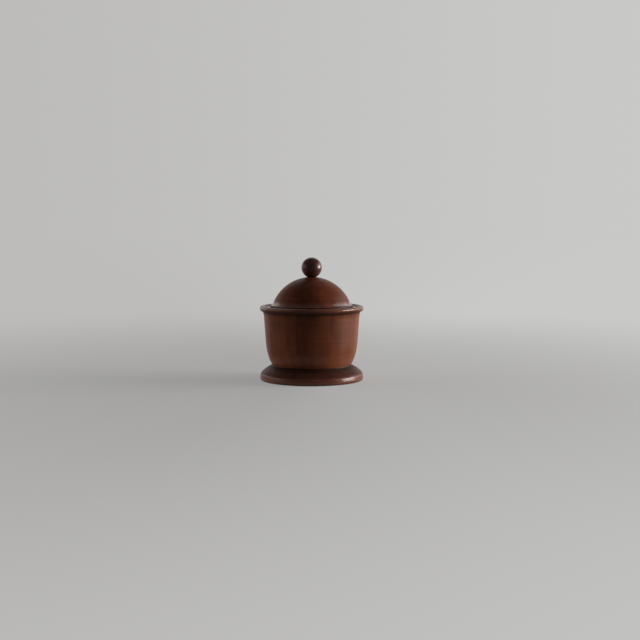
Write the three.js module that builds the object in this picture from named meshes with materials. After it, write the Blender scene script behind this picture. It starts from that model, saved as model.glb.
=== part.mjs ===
// A lidded storage jar in turned wood: a bowl with a rolled lip, glued to a spreading foot,
// and a loose domed lid with a ball knob. Lengths are millimetres, +Z is up, and the origin is
// the centre of the circle that the foot stands on. Every piece is a solid of revolution.
import * as THREE from "three";

// Foot: a spreading disc with a round edge, hollowed a little underneath.
const footDiameter = 120;
const footHeight = 17.8;
const footEdgeHeight = 3.5; // from the base to the widest circle
const footEdgeTuck = 1.4; // how far the edge rounds in towards the base
const footTurnHeight = 8.6; // where the slope and the edge would meet if neither was rounded
const footLand = 0.6; // the narrow flat that shows round the bowl
const baseHollowDiameter = 94;
const baseHollowDepth = 3;
const baseHollowRound = 3;

// Bowl: heights are from the seam with the foot.
const bowlBaseDiameter = 92.6;
const bellyHeight = 28.2; // where the round lower part meets the straight wall
const bellyDiameter = 107.4;
const bellyTurnHeight = 10.2; // where the wall would meet the lower part if it wasn't rounded
const wallTopHeight = 54.7; // where the wall starts to flare under the lip
const wallTopDiameter = 111;
const flareTurnHeight = 59.2;
const bowlHeight = 66.6; // up to the flat ring inside the lip
const wallThickness = 6.6;
const floorThickness = 8.2;
const floorRound = 20; // from the wall to where the floor is flat
const throatHeight = 4; // the straight mouth, below the ledge's round
const undercutHeight = 14; // from the throat to where the hollow follows the wall
const mouthRound = 1;

// Lip: a roll round the rim that stands a little above the flat ring.
const lipDiameter = 121;
const lipRoll = 2.9; // radius of the roll's section
const lipRise = 1.1;
const lipStartAngle = -100; // degrees round the roll's section, where the flare meets it

// Tenon under the bowl, glued in the foot's mortise.
const tenonDiameter = 64;
const tenonLength = 7;

// Lid: heights are from the underside of its flange.
const flangeDiameter = 96;
const flangeHeight = 5.7;
const flangeRound = 1.2;
const ledgeWidth = 3.4; // the ledge inside the rim that carries the flange
const rebateDepth = 2.6; // how deep the ledge lies below the flat ring
const domeRadius = 48.2;
const crownHeight = 37.3;
const coveHeight = 1.7; // hollow moulding between the dome and the flange
const coveWidth = 1.3;
const lidThickness = 5;

// Knob: a ball with a flat seat, on a dowel through the lid's crown.
const knobDiameter = 23.8;
const knobSeatDiameter = 10.2;
const dowelDiameter = 6;
const dowelReach = 9; // into the ball

// Fits
const glueLine = 0.2; // all round each glued joint
const lidPlay = 0.4; // between the flange and the rebate
const lidSeatGap = 0.3; // under the flange
const edgeBreak = 0.5; // small bevel on a turned edge

// How finely the round forms are cut into flat faces.
const sagitta = 0.06; // the most that a flat may lie off an outline's curve
const largeRound = 60; // flats round the foot, bowl and lid
const ballRound = 44;
const dowelRound = 24;
const sameSpot = 1e-6;

// Finishes
const bowlWood = new THREE.MeshStandardMaterial({ color: 0x5f3323, roughness: 0.42, metalness: 0 });
const footWood = new THREE.MeshStandardMaterial({ color: 0x4c2b20, roughness: 0.4, metalness: 0 });
const lidWood = new THREE.MeshStandardMaterial({ color: 0x592d1f, roughness: 0.38, metalness: 0 });
const knobWood = new THREE.MeshStandardMaterial({ color: 0x3d2018, roughness: 0.25, metalness: 0 });
const dowelWood = new THREE.MeshStandardMaterial({ color: 0xa8794e, roughness: 0.7, metalness: 0 });

// Sizes that follow from the others
const dowelHole = dowelDiameter / 2 + glueLine;
const ledgeHeight = bowlHeight - rebateDepth;
const rebateRadius = flangeDiameter / 2 + lidPlay;
const mouthRadius = rebateRadius - ledgeWidth;
const domeCentre = crownHeight - domeRadius;
const knobSeat = domeCentre + Math.sqrt(domeRadius ** 2 - (knobSeatDiameter / 2) ** 2);
const crownInside = domeCentre + Math.sqrt((domeRadius - lidThickness) ** 2 - dowelHole ** 2);
const knobSeatDrop = Math.sqrt((knobDiameter / 2) ** 2 - (knobSeatDiameter / 2) ** 2);

// How far a curve turns, in radians, from end to end.
function turnOf(curve) {
  const looks = 12;
  let turn = 0;
  for (let i = 0; i < looks; i++) {
    turn += curve.getTangent(i / looks).angleTo(curve.getTangent((i + 1) / looks));
  }
  return turn;
}

// Points along an outline: a straight stretch has none between its ends, and a round one has
// enough to keep each flat within the sagitta.
function pointsAlong(outline) {
  const points = [outline.curves[0].getPoint(0)];
  for (const curve of outline.curves) {
    const turn = turnOf(curve);
    const radius = curve.getLength() / Math.max(turn, sameSpot);
    const step = 2 * Math.acos(Math.max(0, 1 - sagitta / radius));
    const steps = Math.max(1, Math.ceil(turn / step - sameSpot));
    for (let i = 1; i <= steps; i++) {
      const point = curve.getPoint(i / steps);
      if (point.distanceTo(points.at(-1)) > sameSpot) points.push(point);
    }
  }
  return points;
}

// A turned piece: its outline, radius across and height up, spun about the vertical axis.
function turned(name, outline, flats, wood) {
  const geometry = new THREE.LatheGeometry(pointsAlong(outline), flats);
  geometry.rotateX(Math.PI / 2);
  const piece = new THREE.Mesh(geometry, wood);
  piece.name = name;
  return piece;
}

function footOutline() {
  const edge = footDiameter / 2;
  const top = bowlBaseDiameter / 2 + footLand;
  const mortise = tenonDiameter / 2 + glueLine;
  const mortiseFloor = footHeight - tenonLength;
  const hollow = baseHollowDiameter / 2;
  const outline = new THREE.Path();
  outline.moveTo(0, baseHollowDepth);
  outline.lineTo(hollow - baseHollowRound, baseHollowDepth);
  outline.quadraticCurveTo(hollow, baseHollowDepth, hollow, 0);
  outline.lineTo(edge - footEdgeTuck, 0);
  outline.absellipse(
    edge - footEdgeTuck,
    footEdgeHeight,
    footEdgeTuck,
    footEdgeHeight,
    -Math.PI / 2,
    0,
    false,
  );
  outline.quadraticCurveTo(edge, footTurnHeight, top, footHeight);
  outline.lineTo(mortise + edgeBreak, footHeight);
  outline.lineTo(mortise, footHeight - edgeBreak);
  outline.lineTo(mortise, mortiseFloor);
  outline.lineTo(0, mortiseFloor);
  return outline;
}

function bowlOutline() {
  const tenon = tenonDiameter / 2;
  const belly = bellyDiameter / 2;
  const taper = (wallTopDiameter / 2 - belly) / (wallTopHeight - bellyHeight);
  const outsideAt = (height) => belly + taper * (height - bellyHeight);
  const insideAt = (height) => outsideAt(height) - wallThickness;

  // The roll's section is a circle that dips into the flat ring on its inner side.
  const rollRadius = lipDiameter / 2 - lipRoll;
  const rollHeight = bowlHeight + lipRise - lipRoll;
  const rollStart = THREE.MathUtils.degToRad(lipStartAngle);
  const rollEnd = Math.PI - Math.asin((lipRoll - lipRise) / lipRoll);
  const underLip = new THREE.Vector2(
    rollRadius + lipRoll * Math.cos(rollStart),
    rollHeight + lipRoll * Math.sin(rollStart),
  );

  const mouthEdge = ledgeHeight - mouthRound;
  const throatBottom = mouthEdge - throatHeight;
  const hollowTop = throatBottom - undercutHeight;
  const roundTop = floorThickness + floorRound;

  const outline = new THREE.Path();
  outline.moveTo(0, glueLine - tenonLength);
  outline.lineTo(tenon - edgeBreak, glueLine - tenonLength);
  outline.lineTo(tenon, glueLine - tenonLength + edgeBreak);
  outline.lineTo(tenon, glueLine);
  outline.lineTo(bowlBaseDiameter / 2, glueLine);
  outline.quadraticCurveTo(outsideAt(bellyTurnHeight), bellyTurnHeight, belly, bellyHeight);
  outline.lineTo(outsideAt(wallTopHeight), wallTopHeight);
  outline.quadraticCurveTo(outsideAt(flareTurnHeight), flareTurnHeight, underLip.x, underLip.y);
  outline.absarc(rollRadius, rollHeight, lipRoll, rollStart, rollEnd, false);
  outline.lineTo(rebateRadius + edgeBreak, bowlHeight);
  outline.lineTo(rebateRadius, bowlHeight - edgeBreak);
  outline.lineTo(rebateRadius, ledgeHeight);
  outline.lineTo(mouthRadius + mouthRound, ledgeHeight);
  outline.absarc(mouthRadius + mouthRound, mouthEdge, mouthRound, Math.PI / 2, Math.PI, false);
  outline.lineTo(mouthRadius, throatBottom);
  outline.quadraticCurveTo(
    insideAt((throatBottom + hollowTop) / 2),
    (throatBottom + hollowTop) / 2,
    insideAt(hollowTop),
    hollowTop,
  );
  outline.lineTo(insideAt(roundTop), roundTop);
  outline.quadraticCurveTo(
    insideAt(floorThickness),
    floorThickness,
    insideAt(floorThickness) - floorRound,
    floorThickness,
  );
  outline.lineTo(0, floorThickness);
  return outline;
}

function lidOutline() {
  const flange = flangeDiameter / 2;
  const inside = domeRadius - lidThickness;
  const domeFoot = flangeHeight + coveHeight;
  const domeFootAngle = Math.asin((domeFoot - domeCentre) / domeRadius);
  const domeFootRadius = domeRadius * Math.cos(domeFootAngle);
  const coveTurn = domeFootRadius + coveHeight * Math.tan(domeFootAngle);
  const insideFootAngle = Math.asin((edgeBreak - domeCentre) / inside);
  const insideFoot = inside * Math.cos(insideFootAngle);
  const outline = new THREE.Path();
  outline.moveTo(dowelHole, crownInside);
  outline.absarc(0, domeCentre, inside, Math.acos(dowelHole / inside), insideFootAngle, true);
  outline.lineTo(insideFoot + edgeBreak, 0);
  outline.lineTo(flange - edgeBreak, 0);
  outline.lineTo(flange, edgeBreak);
  outline.lineTo(flange, flangeHeight - flangeRound);
  outline.absarc(flange - flangeRound, flangeHeight - flangeRound, flangeRound, 0, Math.PI / 2, false);
  outline.lineTo(coveTurn + coveWidth, flangeHeight);
  outline.quadraticCurveTo(coveTurn, flangeHeight, domeFootRadius, domeFoot);
  outline.absarc(0, domeCentre, domeRadius, domeFootAngle, Math.acos(knobSeatDiameter / 2 / domeRadius), false);
  outline.lineTo(dowelHole, knobSeat);
  outline.lineTo(dowelHole, crownInside);
  return outline;
}

// The dowel's lower end is flush with the inside of the dome.
function dowelOutline() {
  const radius = dowelDiameter / 2;
  const length = knobSeat - crownInside + glueLine + dowelReach;
  const outline = new THREE.Path();
  outline.moveTo(0, 0);
  outline.lineTo(radius - edgeBreak, 0);
  outline.lineTo(radius, edgeBreak);
  outline.lineTo(radius, length - edgeBreak);
  outline.lineTo(radius - edgeBreak, length);
  outline.lineTo(0, length);
  return outline;
}

// Heights are from the ball's centre.
function ballOutline() {
  const radius = knobDiameter / 2;
  const seatAngle = -Math.asin(knobSeatDrop / radius);
  const holeTop = -knobSeatDrop + dowelReach + glueLine;
  const outline = new THREE.Path();
  outline.moveTo(0, holeTop);
  outline.lineTo(dowelHole, holeTop);
  outline.lineTo(dowelHole, -knobSeatDrop);
  outline.lineTo(knobSeatDiameter / 2, -knobSeatDrop);
  outline.absarc(0, 0, radius, seatAngle, Math.PI / 2, false);
  return outline;
}

const foot = turned("foot", footOutline(), largeRound, footWood);
const bowl = turned("jar_body", bowlOutline(), largeRound, bowlWood);
bowl.position.z = footHeight;

const lid = turned("lid", lidOutline(), largeRound, lidWood);
const dowel = turned("knob_dowel", dowelOutline(), dowelRound, dowelWood);
dowel.position.z = crownInside;
const ball = turned("knob_ball", ballOutline(), ballRound, knobWood);
ball.position.z = knobSeat + glueLine + knobSeatDrop;

const lidSet = new THREE.Group();
lidSet.add(lid, dowel, ball);
lidSet.position.z = footHeight + ledgeHeight + lidSeatGap;

const jar = new THREE.Group();
jar.add(foot, bowl, lidSet);

export default jar;
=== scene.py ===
import math
from collections import namedtuple

import bmesh
import bpy
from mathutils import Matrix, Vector


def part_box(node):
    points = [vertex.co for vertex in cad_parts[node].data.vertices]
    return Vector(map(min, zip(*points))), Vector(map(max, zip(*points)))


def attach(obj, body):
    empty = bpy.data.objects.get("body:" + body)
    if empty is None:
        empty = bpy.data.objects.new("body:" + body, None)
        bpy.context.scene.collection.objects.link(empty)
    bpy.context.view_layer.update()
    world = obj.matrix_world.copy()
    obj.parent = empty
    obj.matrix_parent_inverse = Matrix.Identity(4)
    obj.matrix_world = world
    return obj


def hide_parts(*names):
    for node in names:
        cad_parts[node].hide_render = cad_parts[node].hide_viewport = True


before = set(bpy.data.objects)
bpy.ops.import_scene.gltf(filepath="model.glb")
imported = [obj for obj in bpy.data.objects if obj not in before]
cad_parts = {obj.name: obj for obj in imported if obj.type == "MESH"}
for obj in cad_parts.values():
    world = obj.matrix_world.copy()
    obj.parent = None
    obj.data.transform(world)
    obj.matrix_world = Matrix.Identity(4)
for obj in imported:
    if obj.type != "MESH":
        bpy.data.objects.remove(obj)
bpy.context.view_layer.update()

MM = 0.001


def turned_size(node):
    """A turned node's radius, underside and top."""
    low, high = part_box(node)
    return high.x / MM, low.z / MM, high.z / MM


# What the frame gives
foot_radius, _, foot_top = turned_size("foot")
lip_radius, tenon_end, _ = turned_size("jar_body")
flange_radius, lid_low, _ = turned_size("lid")
dowel_radius, dowel_low, dowel_top = turned_size("knob_dowel")
ball_radius, ball_low, ball_top = turned_size("knob_ball")

# Foot
foot_edge_height = 3.5  # from the base to the widest circle
foot_edge_tuck = 1.0  # from the widest circle in to the edge of the base
foot_band_height = 6.7  # the upright band ends here in a faint corner
foot_band_lean = 0.35
foot_turn_in = 1.5
foot_turn_height = 10.9
foot_fillet_height = 0.8  # the small upright step under the bowl
foot_fillet_lean = 0.1
base_hollow_radius = 47
base_hollow_depth = 3
base_hollow_round = 3
centre_mark_radius = 1.8  # left by the lathe's centre
centre_mark_depth = 0.7
centre_mark_flat = 0.2

# Bowl: heights are from the seam with the foot
bowl_base_radius = 46.3
belly_height = 28.2
belly_radius = 53.7
belly_turn_height = 10.2
wall_top_height = 54.7
wall_top_radius = 55.5
flare_turn_height = 59.2
wall_thickness = 6.6
floor_thickness = 8.2
floor_round = 20
throat_height = 4
undercut_height = 14
mouth_round = 1
ring_height = 66.6  # the flat ring inside the lip
lip_roll = 2.9  # the roll's reach on each side of its middle
lip_roll_above = 2.3  # from its widest circle up
lip_roll_below = 3.9
lip_rise = 1.6
lip_start_angle = -100
# Under the lip, the painted shade and dirt are darkest at this angle
lip_dirt_and_shade_angle = -75  # the darkest line under the lip
tenon_radius = 32

# Lid: heights are from the underside of its flange
flange_height = 4.9
flange_round = 1.2
ledge_width = 3.4
rebate_depth = 2.6
dome_radius = 48.2
crown_height = 37.3
cove_height = 1.0
cove_width = 0.9
lid_thickness = 5
knob_seat_radius = 5.1

# Fits
glue_line = 0.2
glue_film = 0.03  # what is left of it where the pieces meet in sight
lid_play = 0.4
edge_break = 0.5

# How far stain, dirt and painted shade reach along the outline from a corner, and polish from a rubbed
# line
base_edge_dirt_and_shade = 2.6
foot_seam_dirt_and_shade = 12
lip_dirt_and_shade = 5.5
ledge_dirt_and_shade = 2
flange_dirt_and_shade = 2.6
knob_seat_dirt_and_shade = 4
foot_band_shine = 2
lip_shine = 2.2
dome_foot_shine = 4.5

# How much a whole stretch is handled, from 0 to 1
# On the foot's band this also lightens the colour towards the worn one, partly as painted bounce light
# from the floor
foot_band_handled_and_lit = 0.65
lip_handled = 0.35

# The tool's waves, and how a piece has dried: the share of its width that one way across it lost,
# and the way that kept its width, in radians
tool_wave = 0.03  # how deep, and twice that inside
knob_wave = 0.02
foot_shrink = 0.003
foot_full_way = 0.4
jar_shrink = 0.002
jar_full_way = 1.1

# How far a turned edge is softened by sanding, and how sharp it has to be to get rubbed
softening = 0.22
edge_reach = 0.7  # an edge is felt over this length on each side
faint_bend = 0.1  # radians for each millimetre: below this nothing is rubbed
sharp_bend = 0.5  # and from this on all of it

# How finely the outlines are drawn, and then cut into rings and faces
drawn_step = 0.05
fine_step = 0.42
plain_step = 1.1
hidden_step = 2 * plain_step
largest_turn = math.radians(8)
large_round = 224
knob_round = 144
dowel_round = 64
axis_reach = 0.01  # a ring that is smaller than this is one spot on the axis
calm_radius = 1  # the tool's waves stop this near the axis


class Outline:
    """A turned piece's outline, radius across and height up, drawn with the wood on its left."""

    def __init__(self, radius, height):
        self.points = [Vector((radius, height))]
        self.steps = [plain_step]
        self.inner = [0.0]
        self.handled = [0.0]
        self.step = plain_step
        self.side = 0.0
        self.touch = 0.0
        self.corners = []
        self.shines = []

    def surface(self, step, inner, handled=0.0):
        """Sets how the next stretches are cut and finished.

        The step says how finely, inner whether they have the inside's thinner finish, and handled
        how much they are touched.
        """
        self.step = step
        self.side = float(inner)
        self.touch = handled

    def along(self, curve, length):
        """Adds a stretch of about this length, which the curve gives from 0 to 1."""
        count = max(2, math.ceil(length / drawn_step))
        for i in range(1, count + 1):
            self.points.append(curve(i / count))
            self.steps.append(self.step)
            self.inner.append(self.side)
            self.handled.append(self.touch)

    def grime(self, reach):
        """Marks the last point as a corner where stain, dirt and painted shade stay, thinning out over
        the reach.
        """
        self.corners.append((len(self.points) - 1, reach))

    def shine(self, reach):
        """Marks the last point as a spot that is polished more, fading over the reach."""
        self.shines.append((len(self.points) - 1, reach))

    def line(self, radius, height):
        """A straight stretch."""
        start = self.points[-1]
        end = Vector((radius, height))
        self.along(lambda t: start.lerp(end, t), (end - start).length)

    def bend(self, turn_radius, turn_height, radius, height):
        """A curve that leaves straight towards the turning point, and arrives straight from it."""
        start = self.points[-1]
        turn = Vector((turn_radius, turn_height))
        end = Vector((radius, height))
        length = (turn - start).length + (end - turn).length
        self.along(lambda t: start.lerp(turn, t).lerp(turn.lerp(end, t), t), length)

    def arc(self, centre_radius, centre_height, across, up, start, end):
        """Round a circle or oval, from one angle to another in degrees."""
        def curve(t):
            angle = math.radians(start + (end - start) * t)
            return Vector((
                centre_radius + across * math.cos(angle),
                centre_height + up * math.sin(angle),
            ))

        first = curve(0)
        if (first - self.points[-1]).length > drawn_step:
            self.line(*first)
        self.along(curve, math.radians(abs(end - start)) * max(across, up))


# What the finish is told about each ring of a turned piece, which the mesh carries at its spots
finish_marks = ("along", "edge", "handled", "grime", "inner", "end_grain")
Ring = namedtuple("Ring", ("radius", "height", *finish_marks))


def softened(points, closed):
    """The points moved to the middle of their neighbours, twice, which rounds each corner a little."""
    wide = max(1, round(softening / drawn_step))
    last = len(points) - 1
    for _ in range(2):
        moved = []
        for i in range(len(points)):
            if closed:
                near = [points[(i + k) % last] for k in range(-wide, wide + 1)]
            else:
                room = min(wide, i, last - i)
                near = points[i - room:i + room + 1]
            moved.append(sum(near, Vector((0, 0))) / len(near))
        points = moved
    return points


def bend_about(turns, i, closed):
    """How sharply the outline bends about a point, in radians for each millimetre.

    It is above 0 on an edge and below 0 in a corner.
    """
    reach = round(edge_reach / drawn_step)
    last = len(turns)
    span = range(i - reach, i + reach + 1)
    if closed:
        near = [turns[k % last] for k in span]
    else:
        near = [turns[min(max(k, 0), last - 1)] for k in span]
    return -sum(near) / (2 * reach * drawn_step)


def nearness(marks, distances, travelled):
    """From 1 at a marked point down to 0 at its reach and beyond, measured along the outline."""
    return max([0, *(1 - abs(distances[k] - travelled) / reach for k, reach in marks)])


def rings_of(outline, wave, closed):
    """The rings that a turned piece is made of."""
    points = softened(outline.points, closed)
    last = len(points) - 1
    steps = [points[i + 1] - points[i] for i in range(last)]
    turns = [steps[i - 1].angle_signed(steps[i], 0) if i or closed else 0 for i in range(last)]
    distances = [0]
    for step in steps:
        distances.append(distances[-1] + step.length)
    rings = []
    since = 0
    turned_by = 0
    for i, point in enumerate(points):
        travelled = distances[i]
        if i:
            since += steps[i - 1].length
        if i < last:
            turned_by += abs(turns[i])
        at_end = i in (0, last)
        if not at_end and since < outline.steps[i] and turned_by < largest_turn:
            continue
        if closed and i == last:
            break
        way = steps[min(i, last - 1)].normalized()
        out = Vector((way.y, -way.x))
        place = point - out * wave(travelled, outline.inner[i]) if point.x > calm_radius else point
        sharpness = (bend_about(turns, i, closed) - faint_bend) / (sharp_bend - faint_bend)
        edge = min(max(sharpness, 0), 1)
        rings.append(Ring(
            radius=max(place.x, 0),
            height=place.y,
            along=travelled,
            edge=edge,
            handled=max(edge, outline.handled[i], nearness(outline.shines, distances, travelled)),
            grime=nearness(outline.corners, distances, travelled),
            inner=outline.inner[i],
            end_grain=abs(out.y),
        ))
        since = 0
        turned_by = 0
    return rings


def hand_wave(depth):
    """The slight unevenness that a hand-held tool leaves, as a depth below the true outline."""
    lengths = (23.0, 9.7, 4.3, 2.1)
    shares = (0.45, 0.3, 0.17, 0.08)
    shift = 1.7  # between one wave and the next, in radians

    def wave(travelled, inner):
        total = 0
        for i, (length, share) in enumerate(zip(lengths, shares)):
            total += share * math.sin(2 * math.pi * travelled / length + shift * i)
        return depth * (1 + inner) * (1 + total) / 2

    return wave


def turned(name, outline, around, finish, depth=tool_wave, shrink=0.0, full_way=0.0, closed=False):
    """Spins an outline about the upright axis.

    Wood that dries shrinks more one way than the other, which leaves the piece a little oval.
    """
    rings = rings_of(outline, hand_wave(depth), closed)
    spots = []
    rows = []
    marks = {mark: [] for mark in finish_marks}
    for ring in rings:
        at_axis = ring.radius < axis_reach
        row = []
        for k in range(1 if at_axis else around):
            angle = 2 * math.pi * k / around
            width = 1 - shrink * (1 - math.cos(2 * (angle - full_way))) / 2
            radius = 0 if at_axis else ring.radius * width
            row.append(len(spots))
            spots.append((
                radius * math.cos(angle) * MM,
                radius * math.sin(angle) * MM,
                ring.height * MM,
            ))
            for mark, values in marks.items():
                values.append(getattr(ring, mark))
        rows.append(row)
    if closed:
        rows.append(rows[0])
    faces = []
    for low, high in zip(rows, rows[1:]):
        for k in range(around):
            after = (k + 1) % around
            if len(low) == 1:
                faces.append((low[0], high[after], high[k]))
            elif len(high) == 1:
                faces.append((low[k], low[after], high[0]))
            else:
                faces.append((low[k], low[after], high[after], high[k]))
    mesh = bpy.data.meshes.new(name)
    mesh.from_pydata(spots, [], faces)
    for mark, values in marks.items():
        mesh.attributes.new(mark, "FLOAT", "POINT").data.foreach_set("value", values)
    mesh.shade_smooth()
    mesh.materials.append(finish)
    piece = bpy.data.objects.new(name, mesh)
    bpy.context.scene.collection.objects.link(piece)
    return piece


def foot_outline():
    """From the lathe's mark under the foot, out and up over its edge, and down into the mortise."""
    mortise = tenon_radius + glue_line
    mortise_floor = tenon_end - glue_line
    base_edge = foot_radius - foot_edge_tuck
    outline = Outline(0, base_hollow_depth + centre_mark_depth)
    outline.surface(plain_step, True)
    outline.line(centre_mark_flat, base_hollow_depth + centre_mark_depth)
    outline.line(centre_mark_radius, base_hollow_depth)
    outline.line(base_hollow_radius - base_hollow_round, base_hollow_depth)
    outline.bend(base_hollow_radius, base_hollow_depth, base_hollow_radius, 0)
    outline.line(base_edge, 0)
    outline.grime(base_edge_dirt_and_shade)
    outline.surface(fine_step, False, foot_band_handled_and_lit)
    outline.arc(base_edge, foot_edge_height, foot_edge_tuck, foot_edge_height, -90, 0)
    outline.line(foot_radius - foot_band_lean, foot_band_height)
    outline.shine(foot_band_shine)
    outline.surface(fine_step, False)
    outline.bend(
        foot_radius - foot_turn_in, foot_turn_height,
        bowl_base_radius + foot_fillet_lean, foot_top - foot_fillet_height,
    )
    outline.grime(foot_seam_dirt_and_shade)
    outline.line(bowl_base_radius, foot_top)
    outline.surface(hidden_step, False)
    outline.line(mortise + edge_break, foot_top)
    outline.line(mortise, foot_top - edge_break)
    outline.line(mortise, mortise_floor)
    outline.line(0, mortise_floor)
    return outline


def bowl_outline():
    """From under the tenon, out and up over the lip, and down through the mouth to the bowl's floor."""
    ledge_height = ring_height - rebate_depth
    rebate = flange_radius + lid_play
    mouth = rebate - ledge_width
    taper = (wall_top_radius - belly_radius) / (wall_top_height - belly_height)
    mouth_edge = ledge_height - mouth_round
    throat_bottom = mouth_edge - throat_height
    hollow_top = throat_bottom - undercut_height
    hollow_turn = (throat_bottom + hollow_top) / 2
    round_top = floor_thickness + floor_round
    roll_radius = lip_radius - lip_roll
    roll_height = ring_height + lip_rise - lip_roll_above
    roll_start = math.radians(lip_start_angle)
    roll_end = 180 - math.degrees(math.asin((lip_roll_above - lip_rise) / lip_roll_above))

    def outside(height):
        return belly_radius + taper * (height - belly_height)

    def inside(height):
        return outside(height) - wall_thickness

    def up(height):
        return foot_top + height

    outline = Outline(0, tenon_end)
    outline.surface(hidden_step, False)
    outline.line(tenon_radius - edge_break, tenon_end)
    outline.line(tenon_radius, tenon_end + edge_break)
    outline.line(tenon_radius, up(glue_film))
    outline.line(bowl_base_radius - edge_break, up(glue_film))
    outline.surface(fine_step, False)
    outline.line(bowl_base_radius, up(glue_film))
    outline.bend(outside(belly_turn_height), up(belly_turn_height), belly_radius, up(belly_height))
    outline.line(outside(wall_top_height), up(wall_top_height))
    outline.bend(
        outside(flare_turn_height), up(flare_turn_height),
        roll_radius + lip_roll * math.cos(roll_start),
        up(roll_height + lip_roll_below * math.sin(roll_start)),
    )
    outline.arc(roll_radius, up(roll_height), lip_roll, lip_roll_below, lip_start_angle, lip_dirt_and_shade_angle)
    outline.grime(lip_dirt_and_shade)
    outline.surface(fine_step, False, lip_handled)
    outline.arc(roll_radius, up(roll_height), lip_roll, lip_roll_below, lip_dirt_and_shade_angle, 0)
    outline.shine(lip_shine)
    outline.arc(roll_radius, up(roll_height), lip_roll, lip_roll_above, 0, roll_end)
    outline.line(rebate + edge_break, up(ring_height))
    outline.surface(plain_step, False)
    outline.line(rebate, up(ring_height - edge_break))
    outline.line(rebate, up(ledge_height))
    outline.grime(ledge_dirt_and_shade)
    outline.surface(plain_step, True)
    outline.line(mouth + mouth_round, up(ledge_height))
    outline.arc(mouth + mouth_round, up(mouth_edge), mouth_round, mouth_round, 90, 180)
    outline.line(mouth, up(throat_bottom))
    outline.bend(inside(hollow_turn), up(hollow_turn), inside(hollow_top), up(hollow_top))
    outline.line(inside(round_top), up(round_top))
    outline.bend(
        inside(floor_thickness), up(floor_thickness),
        inside(floor_thickness) - floor_round, up(floor_thickness),
    )
    outline.line(0, up(floor_thickness))
    return outline


def lid_outline():
    """From the dowel's hole, down inside the dome, round the flange and up the outside to the hole."""
    centre = crown_height - dome_radius
    inside = dome_radius - lid_thickness
    hole = dowel_radius + glue_line
    seat = centre + math.sqrt(dome_radius ** 2 - knob_seat_radius ** 2)
    dome_foot = flange_height + cove_height
    foot_angle = math.asin((dome_foot - centre) / dome_radius)
    dome_foot_radius = dome_radius * math.cos(foot_angle)
    cove_turn = dome_foot_radius + cove_height * math.tan(foot_angle)
    hole_angle = math.degrees(math.acos(hole / inside))
    inner_foot_angle = math.asin((edge_break - centre) / inside)
    crown_angle = math.degrees(math.acos(knob_seat_radius / dome_radius))
    round_start = flange_height - flange_round

    def up(height):
        return lid_low + height

    outline = Outline(hole, up(centre + inside * math.sin(math.radians(hole_angle))))
    outline.surface(plain_step, True)
    outline.arc(0, up(centre), inside, inside, hole_angle, math.degrees(inner_foot_angle))
    outline.line(inside * math.cos(inner_foot_angle) + edge_break, up(0))
    outline.line(flange_radius - edge_break, up(0))
    outline.surface(fine_step, False)
    outline.line(flange_radius, up(edge_break))
    outline.line(flange_radius, up(round_start))
    outline.grime(flange_dirt_and_shade)
    outline.arc(flange_radius - flange_round, up(round_start), flange_round, flange_round, 0, 90)
    outline.line(cove_turn + cove_width, up(flange_height))
    outline.bend(cove_turn, up(flange_height), dome_foot_radius, up(dome_foot))
    outline.shine(dome_foot_shine)
    outline.arc(0, up(centre), dome_radius, dome_radius, math.degrees(foot_angle), crown_angle)
    outline.grime(knob_seat_dirt_and_shade)
    outline.surface(plain_step, False)
    outline.line(hole, up(seat))
    outline.line(*outline.points[0])
    return outline


def dowel_outline():
    """A plain dowel with its ends' edges broken."""
    outline = Outline(0, dowel_low)
    outline.surface(fine_step, True)
    outline.line(dowel_radius - edge_break, dowel_low)
    outline.line(dowel_radius, dowel_low + edge_break)
    outline.line(dowel_radius, dowel_top - edge_break)
    outline.line(dowel_radius - edge_break, dowel_top)
    outline.line(0, dowel_top)
    return outline


def ball_outline():
    """The ball's seat comes down to the crown, and closes the glue line that would show there."""
    centre = ball_top - ball_radius
    hole = dowel_radius + glue_line
    seat = ball_low - glue_line + glue_film
    seat_angle = math.degrees(math.asin((seat - centre) / ball_radius))
    outline = Outline(0, dowel_top + glue_line)
    outline.surface(plain_step, False)
    outline.line(hole, dowel_top + glue_line)
    outline.line(hole, seat)
    outline.line(ball_radius * math.cos(math.radians(seat_angle)), seat)
    outline.grime(knob_seat_dirt_and_shade)
    outline.surface(fine_step, False)
    outline.arc(0, centre, ball_radius, ball_radius, seat_angle, 90)
    return outline


def maths(operation, reflected=False):
    """An operator of Value, as a Math node."""
    def work(self, other=None):
        pair = [other, self] if reflected else [self, other]
        return self.shader.maths(operation, *[side for side in pair if side is not None])

    return work


class Value:
    """What a socket gives: a number, a colour or a vector. Operators on numbers add Math nodes."""

    def __init__(self, shader, socket):
        self.shader = shader
        self.socket = socket

    __add__ = maths("ADD")
    __radd__ = maths("ADD", True)
    __sub__ = maths("SUBTRACT")
    __rsub__ = maths("SUBTRACT", True)
    __mul__ = maths("MULTIPLY")
    __rmul__ = maths("MULTIPLY", True)
    __truediv__ = maths("DIVIDE")
    whole = maths("FLOOR")
    part = maths("FRACT")

    def out(self, name):
        """Another output of the same node."""
        return Value(self.shader, self.socket.node.outputs[name])

    def vector(self, operation, other, output="Vector"):
        """Vector maths with another vector."""
        settings = {"operation": operation}
        return self.shader.node("ShaderNodeVectorMath", output, settings, {0: self, 1: other})

    def smooth(self, low, high):
        """From 0 at the low value to 1 at the high one."""
        return self.shader.node(
            "ShaderNodeMapRange", "Result", {"interpolation_type": "SMOOTHSTEP"},
            {"Value": self, "From Min": low, "From Max": high},
        )


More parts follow.
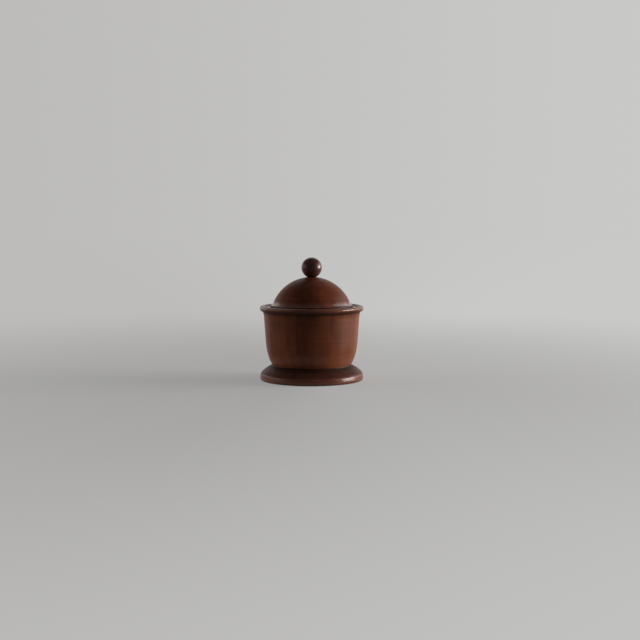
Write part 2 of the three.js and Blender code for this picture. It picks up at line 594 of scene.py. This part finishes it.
class Shader:
    """A node tree under construction."""

    def __init__(self, tree):
        self.tree = tree
        tree.nodes.clear()

    def node(self, kind, output, settings=None, inputs=None):
        """Adds a node with its settings and its sockets' values or links, and gives one output of it."""
        made = self.tree.nodes.new(kind)
        for name, value in (settings or {}).items():
            setattr(made, name, value)
        for name, value in (inputs or {}).items():
            if isinstance(value, Value):
                self.tree.links.new(value.socket, made.inputs[name])
            else:
                made.inputs[name].default_value = value
        return Value(self, made.outputs[output]) if output else made

    def maths(self, operation, *values):
        return self.node("ShaderNodeMath", "Value", {"operation": operation}, dict(enumerate(values)))

    def mark(self, name):
        """What the mesh says at this spot."""
        return self.node("ShaderNodeAttribute", "Fac", {"attribute_name": name})

    def noise(self, place, lumps, detail=2.0, output="Fac"):
        """Soft noise, with so many lumps in a millimetre across the grain and along it."""
        across, along = lumps
        stretched = place.vector("MULTIPLY", (across / MM, across / MM, along / MM))
        return self.node(
            "ShaderNodeTexNoise", output, {"noise_dimensions": "3D"},
            {"Vector": stretched, "Scale": 1.0, "Detail": detail, "Roughness": 0.55},
        )

    def marks_round(self, distance):
        """Marks that run round a turned piece, at uneven distances up its outline."""
        return self.node(
            "ShaderNodeTexNoise", "Fac", {"noise_dimensions": "1D"},
            {"W": distance, "Scale": 1.0, "Detail": 3.0, "Roughness": 0.6},
        ) - 0.5

    def mix(self, share, first, second):
        """A colour between two others."""
        return self.node(
            "ShaderNodeMix", 2, {"data_type": "RGBA", "clamp_factor": True},
            {0: share, 6: first, 7: second},
        )


def colour(code):
    """A colour's linear values from its usual six-letter code."""
    shares = [int(code[i:i + 2], 16) / 255 for i in (0, 2, 4)]
    return (*[c / 12.92 if c <= 0.04045 else ((c + 0.055) / 1.055) ** 2.4 for c in shares], 1.0)


# How many lumps each kind of marking has in a millimetre, across the grain and along it
drift_lumps = (0.014, 0.003)
ring_lumps = (0.06, 0.012)
fibre_lumps = (1.5, 0.05)
streak_lumps = (0.15, 0.006)
blotch_lumps = (0.035, 0.03)
pore_lumps = (3.2, 0.2)
line_lumps = (0.05, 0.05)
band_lumps = (0.03, 0.03)
drift_reach = 6  # how far the grain wanders, from one side to the other

# A kind of wood: its colours, its grain, its gloss, and how strongly some markings show. The pith's
# place is in metres across the grain, from the middle of the jar's base. The grain of lying wood runs
# across the jar, and that of the others up it.
Wood = namedtuple("Wood", (
    "light", "dark", "worn", "inside", "grime",
    "pith", "ring", "lying",
    "roughness", "inner_roughness", "specular", "coat", "rubbed",
    "wear", "lines", "figure",
))


def growth_rings(shader, place, look):
    """The dark late wood of each year, round a pith that lies outside the piece."""
    from_pith = place.vector("SUBTRACT", (*look.pith, 0)).vector("MULTIPLY", (1 / MM, 1 / MM, 0))
    years = from_pith.vector("LENGTH", (0, 0, 0), "Value") / look.ring
    years = years + 0.9 * shader.noise(place, ring_lumps)
    late = years.part()
    one_dimension = {"noise_dimensions": "1D"}
    strength = shader.node("ShaderNodeTexWhiteNoise", "Value", one_dimension, {"W": years.whole()})
    return late.smooth(0.3, 0.9) * (1 - late.smooth(0.93, 1)) * (0.3 + 0.7 * strength)


def wood(name, look):
    """Stained and polished wood, solid all the way through, so that the grain runs over each edge."""
    material = bpy.data.materials.new(name)
    material.use_nodes = True
    shader = Shader(material.node_tree)
    place = shader.node("ShaderNodeTexCoord", "Object")
    if look.lying:
        across = (0, math.pi / 2, 0)
        place = shader.node("ShaderNodeMapping", "Vector", None, {"Vector": place, "Rotation": across})
    drift = shader.noise(place, drift_lumps, 1, "Color").vector("SUBTRACT", (0.5, 0.5, 0.5))
    place = place.vector("ADD", drift.vector("MULTIPLY", (drift_reach * MM, drift_reach * MM, 0)))

    # Growth rings, fibres, broad streaks, blotches of stain and open pores
    rings = growth_rings(shader, place, look)
    fibre = shader.noise(place, fibre_lumps, 3) - 0.5
    streak = shader.noise(place, streak_lumps, 2) - 0.5
    blotch = shader.noise(place, blotch_lumps, 2) - 0.5
    pores = shader.noise(place, pore_lumps, 1).smooth(0.63, 0.76)

    # Lines and broader bands left by turning and sanding, which run round the piece
    distance = shader.mark("along")
    line_strength = 0.5 + shader.noise(place, line_lumps, 1)
    band_strength = 0.4 + 1.2 * shader.noise(place, band_lumps, 1)
    lines = shader.marks_round(distance * look.lines) * line_strength
    bands = shader.marks_round(distance * 0.4 * look.lines) * band_strength

    # What the shape brings: rubbed edges, corners with dirt and painted shade, polish from hands, and
    # the plainer inside
    edge = shader.mark("edge")
    grime = shader.mark("grime").smooth(0, 1)
    handled = shader.mark("handled")
    inner = shader.mark("inner")
    end_grain = shader.mark("end_grain")

    tone = 0.55 + 0.9 * streak + 0.3 * fibre + 0.6 * blotch + 0.28 * lines + 0.34 * bands
    tone = tone - look.figure * rings
    stained = shader.mix(tone, colour(look.dark), colour(look.light))
    stained = shader.mix(0.45 * pores + 0.12 * end_grain, stained, colour(look.dark))
    stained = shader.mix(inner, stained, shader.mix(tone, colour(look.dark), colour(look.inside)))
    # Rubbed edges and handled spots turn lighter; on the foot's band this is partly painted bounce light
    worn = (0.4 * edge + 0.6 * handled) * (look.wear + 0.9 * blotch + 0.6 * fibre)
    stained = shader.mix(worn, stained, colour(look.worn))
    # Dirt and painted shade: darker towards corners, under the lip, round the flange, at the knob's seat
    # and over the foot's upper slope
    stained = shader.mix((0.85 + 0.5 * blotch) * grime, stained, colour(look.grime))

    roughness = look.roughness + look.inner_roughness * inner
    roughness = roughness + 0.1 * fibre + 0.12 * lines + 0.12 * blotch
    roughness = roughness + 0.18 * pores + 0.12 * grime - 0.08 * handled
    coat = (look.coat + look.rubbed * handled) * (1 - 0.8 * inner)
    coat = coat * (1 - 0.3 * pores * (1 - handled)) * (1 - grime)
    height = (1 - 0.85 * handled) * (0.025 * lines + 0.15 * bands + 0.006 * fibre - 0.015 * pores)
    bump = shader.node(
        "ShaderNodeBump", "Normal", None, {"Strength": 0.7, "Distance": MM, "Height": height},
    )
    surface = shader.node(
        "ShaderNodeBsdfPrincipled", "BSDF", None,
        {
            "Base Color": stained,
            "Roughness": roughness,
            "Specular IOR Level": look.specular,
            "Coat Weight": coat,
            "Coat Roughness": 0.15,
            "Coat IOR": 1.6,
            "Normal": bump,
        },
    )
    shader.node("ShaderNodeOutputMaterial", None, None, {"Surface": surface})
    return material


bowl_wood = wood("stained_bowl_wood", Wood(
    light="9c5431", dark="5a2d19", worn="93552e", inside="6b4531", grime="24110a",
    pith=(0.062, 0.071), ring=2.6, lying=False,
    roughness=0.44, inner_roughness=0.12, specular=0.18, coat=0.16, rubbed=0.8,
    wear=0.3, lines=0.8, figure=0.12,
))
# The foot's colours are the bowl's wood painted darker, partly as shade on its upward slope; its lighter
# worn colour is partly painted bounce light on the band
foot_wood = wood("stained_foot_wood_with_painted_light", Wood(
    light="6e3e2d", dark="412217", worn="a05c40", inside="5f4436", grime="2a1a14",
    pith=(0.05, -0.09), ring=3.1, lying=True,
    roughness=0.42, inner_roughness=0.14, specular=0.17, coat=0.1, rubbed=0.32,
    wear=0.7, lines=0.9, figure=0.3,
))
# The lid's dark colour is deeper than the bowl's, partly as painted shade on the dome, which faces up
# away from the low lamps
lid_wood = wood("stained_lid_wood_with_painted_shade", Wood(
    light="964c2c", dark="351a11", worn="884e2e", inside="6b4531", grime="26120b",
    pith=(0.055, 0.08), ring=2.4, lying=False,
    roughness=0.42, inner_roughness=0.12, specular=0.14, coat=0.06, rubbed=1.2,
    wear=0.25, lines=0.9, figure=0.15,
))
knob_wood = wood("stained_knob_wood", Wood(
    light="6b3725", dark="3d1f17", worn="5e3826", inside="4d2a1e", grime="22110b",
    pith=(0.02, 0.03), ring=1.9, lying=False,
    roughness=0.36, inner_roughness=0.1, specular=0.2, coat=0.54, rubbed=0.0,
    wear=0.25, lines=1.2, figure=0.3,
))
dowel_wood = wood("bare_dowel_wood", Wood(
    light="bd9166", dark="916643", worn="c39c74", inside="bd9166", grime="916643",
    pith=(0.012, 0.02), ring=1.4, lying=False,
    roughness=0.62, inner_roughness=0.1, specular=0.2, coat=0.0, rubbed=0.0,
    wear=0.0, lines=0.8, figure=0.4,
))


def fit(piece, node, body):
    """Puts a turned piece in the place of its solid, on its body."""
    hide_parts(node)
    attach(piece, body)


foot = turned(
    "turned_foot", foot_outline(), large_round, foot_wood,
    shrink=foot_shrink, full_way=foot_full_way,
)
bowl = turned(
    "turned_bowl", bowl_outline(), large_round, bowl_wood,
    shrink=jar_shrink, full_way=jar_full_way,
)
lid = turned(
    "domed_lid", lid_outline(), large_round, lid_wood,
    shrink=jar_shrink, full_way=jar_full_way, closed=True,
)
dowel = turned("lid_dowel", dowel_outline(), dowel_round, dowel_wood, depth=0.0)
ball = turned("ball_knob", ball_outline(), knob_round, knob_wood, depth=knob_wave)

fit(foot, "foot", "jar")
fit(bowl, "jar_body", "jar")
fit(lid, "lid", "lid")
fit(dowel, "knob_dowel", "lid")
fit(ball, "knob_ball", "lid")


# The studio, in metres: a pale floor that fades into a pale backdrop, and a surround of dark cloth.
# The surround isn't seen and throws no shadow: the jar only mirrors it and gathers its dim light. It
# is open behind the jar, where the backdrop is.
backdrop_left = (0.505, 0.5, 0.49, 1.0)
backdrop_right = (0.585, 0.583, 0.578, 1.0)
backdrop_blend = 0.35  # how far to each side the one colour fades into the other
floor_paint = (0.86, 0.85, 0.835, 1.0)
floor_radius = 14
floor_drop = 0.00005  # so that the foot and the floor don't share a plane
floor_sides = 96
haze_start = 0.1  # from here on the floor fades into the backdrop's colour
haze_end = 1.1  # and here it is all that colour
least_haze = 0.5  # that colour's share round the jar
surround_cloth = (0.022, 0.022, 0.024, 1.0)
# The surround's painted reflection: a glow that only mirrored rays see, though the surround is no lamp
surround_painted_reflection = (0.06, 0.085, 0.11, 1.0)  # what a polished surface shows of it besides
apron_start = 0.1
apron_height = 0.001
wall_distance = 4.2
ceiling_height = 2.6
opening_height = 2.0  # of the opening behind the jar
opening_angle = 122  # from the front to each side of it, in degrees
swept_steps = 50


def backdrop_colour(shader, place):
    """A little darker on the left."""
    side = place.vector("NORMALIZE", (0, 0, 0)).vector("DOT_PRODUCT", (1, 0, 0), "Value")
    return shader.mix(side.smooth(-backdrop_blend, backdrop_blend), backdrop_left, backdrop_right)


def light_world():
    """The backdrop is the world's own colour."""
    world = bpy.data.worlds.new("studio")
    bpy.context.scene.world = world
    world.use_nodes = True
    shader = Shader(world.node_tree)
    pale = backdrop_colour(shader, shader.node("ShaderNodeTexCoord", "Generated"))
    backdrop = shader.node("ShaderNodeBackground", "Background", None, {"Color": pale, "Strength": 1.0})
    shader.node("ShaderNodeOutputWorld", None, None, {"Surface": backdrop})


def one_sided(shader, face):
    """A surface that is clear from behind."""
    clear = shader.node("ShaderNodeBsdfTransparent", "BSDF")
    behind = shader.node("ShaderNodeNewGeometry", "Backfacing")
    shown = shader.node("ShaderNodeMixShader", "Shader", None, {0: behind, 1: face, 2: clear})
    shader.node("ShaderNodeOutputMaterial", None, None, {"Surface": shown})


def stage_piece(name, mesh):
    """A piece of the studio, with the shader of its own material."""
    piece = bpy.data.objects.new(name, mesh)
    bpy.context.scene.collection.objects.link(piece)
    material = bpy.data.materials.new(name)
    material.use_nodes = True
    mesh.materials.append(material)
    return piece, Shader(material.node_tree)


def lay_floor():
    """Painted near the jar, and with more of the backdrop's own colour further away."""
    mesh = bpy.data.meshes.new("floor")
    drawn = bmesh.new()
    bmesh.ops.create_circle(drawn, cap_ends=True, radius=floor_radius, segments=floor_sides)
    drawn.to_mesh(mesh)
    drawn.free()
    floor, shader = stage_piece("floor", mesh)
    floor.location.z = -floor_drop
    paint = shader.node("ShaderNodeBsdfDiffuse", "BSDF", None, {"Color": floor_paint})
    place = shader.node("ShaderNodeTexCoord", "Object")
    pale = backdrop_colour(shader, place)
    haze = shader.node("ShaderNodeEmission", "Emission", None, {"Color": pale, "Strength": 1.0})
    away = place.vector("LENGTH", (0, 0, 0), "Value").smooth(haze_start, haze_end)
    rays = shader.node("ShaderNodeLightPath", "Is Camera Ray")
    seen = (rays + rays.out("Is Glossy Ray") + rays.out("Is Transmission Ray")).smooth(0, 1)
    share = (least_haze + (1 - least_haze) * away) * seen
    one_sided(shader, shader.node("ShaderNodeMixShader", "Shader", None, {0: share, 1: paint, 2: haze}))


def swept(profile, first, last):
    """Spots and faces of an open sheet: a profile turned about the upright axis.

    It goes from one angle to another, counted in degrees from the front.
    """
    spots = []
    faces = []
    for i in range(swept_steps + 1):
        angle = math.radians(first + (last - first) * i / swept_steps)
        for radius, height in profile:
            spots.append((radius * math.sin(angle), -radius * math.cos(angle), height))
    for i in range(swept_steps):
        for k in range(len(profile) - 1):
            corner = i * len(profile) + k
            faces.append((corner, corner + 1, corner + len(profile) + 1, corner + len(profile)))
    return spots, faces


def hang_surround():
    """An apron on the floor round the jar, a wall and a ceiling.

    Behind the jar only the upper wall and the ceiling are there.
    """
    top = [(wall_distance, ceiling_height), (0, ceiling_height)]
    front = [(apron_start, apron_height), (wall_distance, apron_height), *top]
    behind = [(wall_distance, opening_height), *top]
    sheets = {
        "surround_front": swept(front, -opening_angle, opening_angle),
        "surround_behind": swept(behind, opening_angle, 360 - opening_angle),
    }
    for name, (spots, faces) in sheets.items():
        mesh = bpy.data.meshes.new(name)
        mesh.from_pydata(spots, [], faces)
        surround, shader = stage_piece(name, mesh)
        surround.visible_camera = False
        surround.visible_shadow = False
        cloth = shader.node("ShaderNodeBsdfDiffuse", "BSDF", None, {"Color": surround_cloth})
        # A painted reflection: the cloth glows for mirrored rays only, though it is no lamp
        painted_reflection = shader.node(
            "ShaderNodeEmission", "Emission", None, {"Color": surround_painted_reflection, "Strength": 1.0},
        )
        polished = shader.node("ShaderNodeAddShader", "Shader", None, {0: cloth, 1: painted_reflection})
        glossy = shader.node("ShaderNodeLightPath", "Is Glossy Ray")
        shares = {0: glossy, 1: cloth, 2: polished}
        one_sided(shader, shader.node("ShaderNodeMixShader", "Shader", None, shares))


# The lamps: a bright panel like a window on the right, with a broad dim one beside it for the room, two
# weaker ones on the left, and a dim one high behind. The first of the two on the left lights the wood
# without being mirrored in it, and the second gives the little that is mirrored of that side.
lamp_aim = Vector((0, 0, 0.075))  # about the middle of the jar
window_tint = (1.0, 0.985, 0.965)
room_tint = (1.0, 0.99, 0.975)
sky_tint = (0.95, 0.98, 1.02)
plain_tint = (1.0, 1.0, 1.0)


def soft_light(name, side, height, distance, width, tall, radiance, tint, mirrored=True):
    """A panel of light, placed by its angle round the jar from the front and its angle up."""
    turn = math.radians(side)
    rise = math.radians(height)
    way = Vector((math.sin(turn) * math.cos(rise), -math.cos(turn) * math.cos(rise), math.sin(rise)))
    lamp = bpy.data.lights.new(name, "AREA")
    lamp.shape = "RECTANGLE"
    lamp.size = width
    lamp.size_y = tall
    lamp.energy = radiance * math.pi * width * tall
    lamp.color = tint
    light = bpy.data.objects.new(name, lamp)
    light.location = lamp_aim + way * distance
    light.rotation_euler = (-way).to_track_quat("-Z", "Y").to_euler()
    light.visible_camera = False
    light.visible_glossy = mirrored
    bpy.context.scene.collection.objects.link(light)


light_world()
lay_floor()
hang_surround()
soft_light(
    "window_light", side=92, height=4, distance=3.0,
    width=1.9, tall=1.2, radiance=13.0, tint=window_tint,
)
soft_light(
    "right_fill", side=102, height=14, distance=3.1,
    width=3.6, tall=2.2, radiance=1.35, tint=room_tint,
)
soft_light(
    "left_fill", side=-102, height=6, distance=2.6,
    width=3.2, tall=1.3, radiance=2.3, tint=sky_tint, mirrored=False,
)
soft_light(
    "left_gleam", side=-100, height=8, distance=2.7,
    width=3.8, tall=1.3, radiance=0.5, tint=sky_tint,
)
soft_light(
    "back_light", side=180, height=35, distance=2.8,
    width=2.4, tall=1.0, radiance=0.55, tint=plain_tint,
)

# The camera: its place is in metres, its dip in degrees
camera_place = (0.0097, -1.248, 0.1774)
camera_dip = 4.955
lens_length = 60.55
sensor_width = 36


def place_camera():
    """A little above the jar and looking slightly down, with the jar a little left of the middle."""
    lens = bpy.data.cameras.new("camera")
    lens.lens = lens_length
    lens.sensor_width = sensor_width
    camera = bpy.data.objects.new("camera", lens)
    camera.location = camera_place
    camera.rotation_euler = (math.radians(90 - camera_dip), 0, 0)
    bpy.context.scene.collection.objects.link(camera)
    bpy.context.scene.camera = camera


place_camera()
bpy.context.scene.view_settings.view_transform = "Standard"
